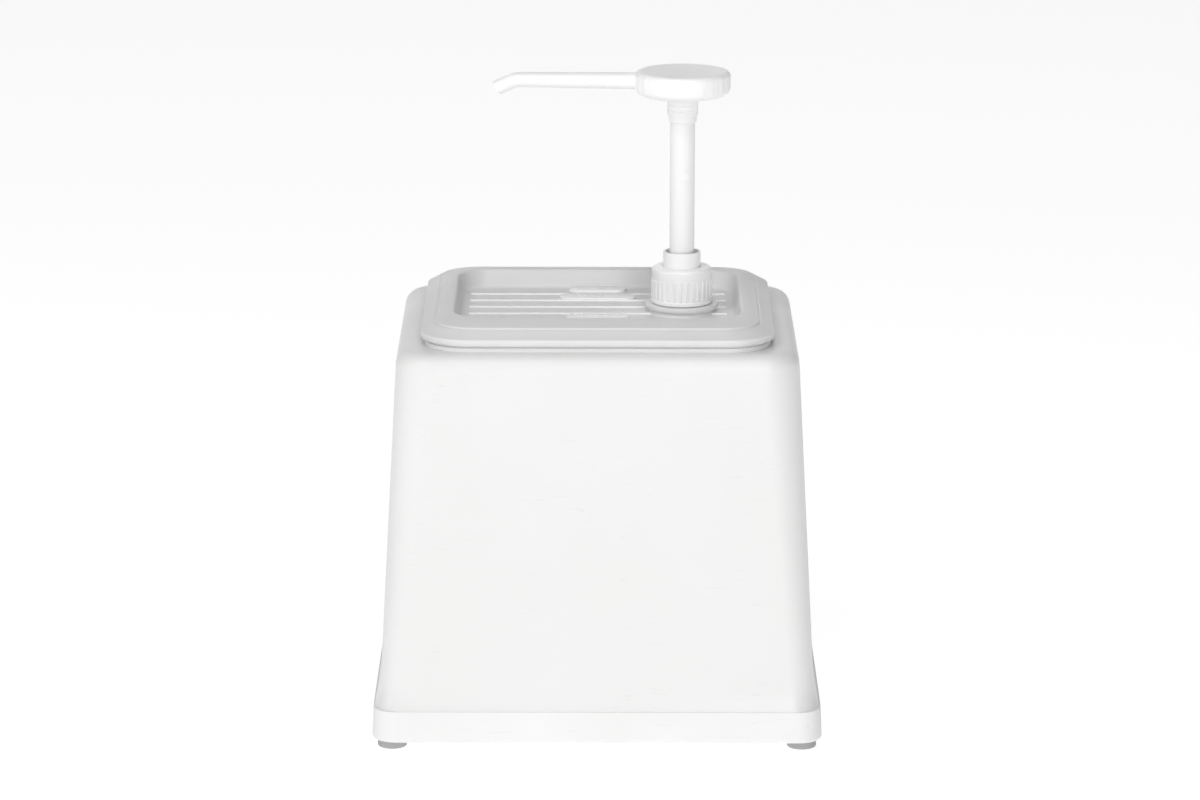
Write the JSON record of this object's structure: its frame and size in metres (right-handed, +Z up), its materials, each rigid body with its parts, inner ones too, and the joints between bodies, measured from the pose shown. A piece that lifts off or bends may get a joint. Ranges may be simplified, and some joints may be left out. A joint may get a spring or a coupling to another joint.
{
  "type": "condiment pump dispenser",
  "caption": "Tapered counter-top housing holding a lidded food container, with a hand-pressed condiment pump and a long swivelling spout.",
  "frame": {"origin": "on the standing surface, under the middle of the base", "axes": "+Z up, -X towards the side the spout points to at rest, -Y the front, +Y the back"},
  "size_m": [0.23, 0.206, 0.3338],
  "materials": {
    "housing_plastic": "white moulded ABS, satin gloss",
    "container_plastic": "white moulded plastic, satin",
    "lid_plastic": "translucent white polypropylene, satin",
    "pump_plastic": "white polypropylene, satin gloss",
    "spud_plastic": "translucent natural polypropylene",
    "stem_plastic": "white smooth extruded tube",
    "tube_plastic": "natural polyethylene tube",
    "foot_rubber": "mid-grey moulded rubber",
    "seal_rubber": "pale grey silicone",
    "steel": "stainless steel"
  },
  "bodies": {
    "housing": {"housing_shell": "housing_plastic", "base_tray": "housing_plastic", "foot_front_left": "foot_rubber", "foot_front_right": "foot_rubber", "foot_rear_left": "foot_rubber", "foot_rear_right": "foot_rubber", "foot_screws": "steel", "case_screws": "steel"},
    "container": {"food_container": "container_plastic"},
    "lid": {"lid": "lid_plastic", "lid_seal": "seal_rubber", "spud": "spud_plastic", "spud_gasket": "seal_rubber", "spud_nut": "spud_plastic"},
    "pump": {"neck_collar": "pump_plastic", "neck_washer": "seal_rubber", "guide_bush": "pump_plastic", "pump_cylinder": "pump_plastic", "inlet_valve_seat": "pump_plastic", "inlet_ball_cage": "pump_plastic", "dip_tube": "tube_plastic", "return_spring": "steel"},
    "cap": {"pump_cap": "pump_plastic"},
    "plunger": {"piston": "pump_plastic", "piston_seal": "seal_rubber"},
    "head": {"stem": "stem_plastic", "head_sleeve": "pump_plastic", "pump_head": "pump_plastic"},
    "outlet_ball": {"outlet_ball": "steel"},
    "inlet_ball": {"inlet_ball": "steel"}
  },
  "joints": [
    {"name": "container_lift", "type": "slide", "parent": "housing", "child": "container", "axis": [0, 0, 1], "range_m": [0, 0.16]},
    {"name": "lid_lift", "type": "slide", "parent": "container", "child": "lid", "axis": [0, 0, 1], "range_m": [0, 0.16]},
    {"name": "pump_lift", "type": "slide", "parent": "lid", "child": "pump", "axis": [0, 0, 1], "range_m": [0, 0.17]},
    {"name": "cap_turn", "type": "hinge", "parent": "pump", "child": "cap", "pos_m": [0.0435, 0, 0.222], "axis": [0, 0, 1], "range_deg": [0, 450]},
    {"name": "pump_press", "type": "slide", "parent": "pump", "child": "plunger", "axis": [0, 0, -1], "range_m": [0, 0.062], "stiffness_N_per_m": 250, "springref_m": -0.02, "deforming": ["return_spring"]},
    {"name": "spout_swivel", "type": "hinge", "parent": "plunger", "child": "head", "pos_m": [0.0435, 0, 0.32], "axis": [0, 0, 1], "continuous": true},
    {"name": "outlet_ball_lift", "type": "slide", "parent": "plunger", "child": "outlet_ball", "axis": [0, 0, 1], "range_m": [0, 0.003]},
    {"name": "inlet_ball_lift", "type": "slide", "parent": "pump", "child": "inlet_ball", "axis": [0, 0, 1], "range_m": [0, 0.003]}
  ]
}
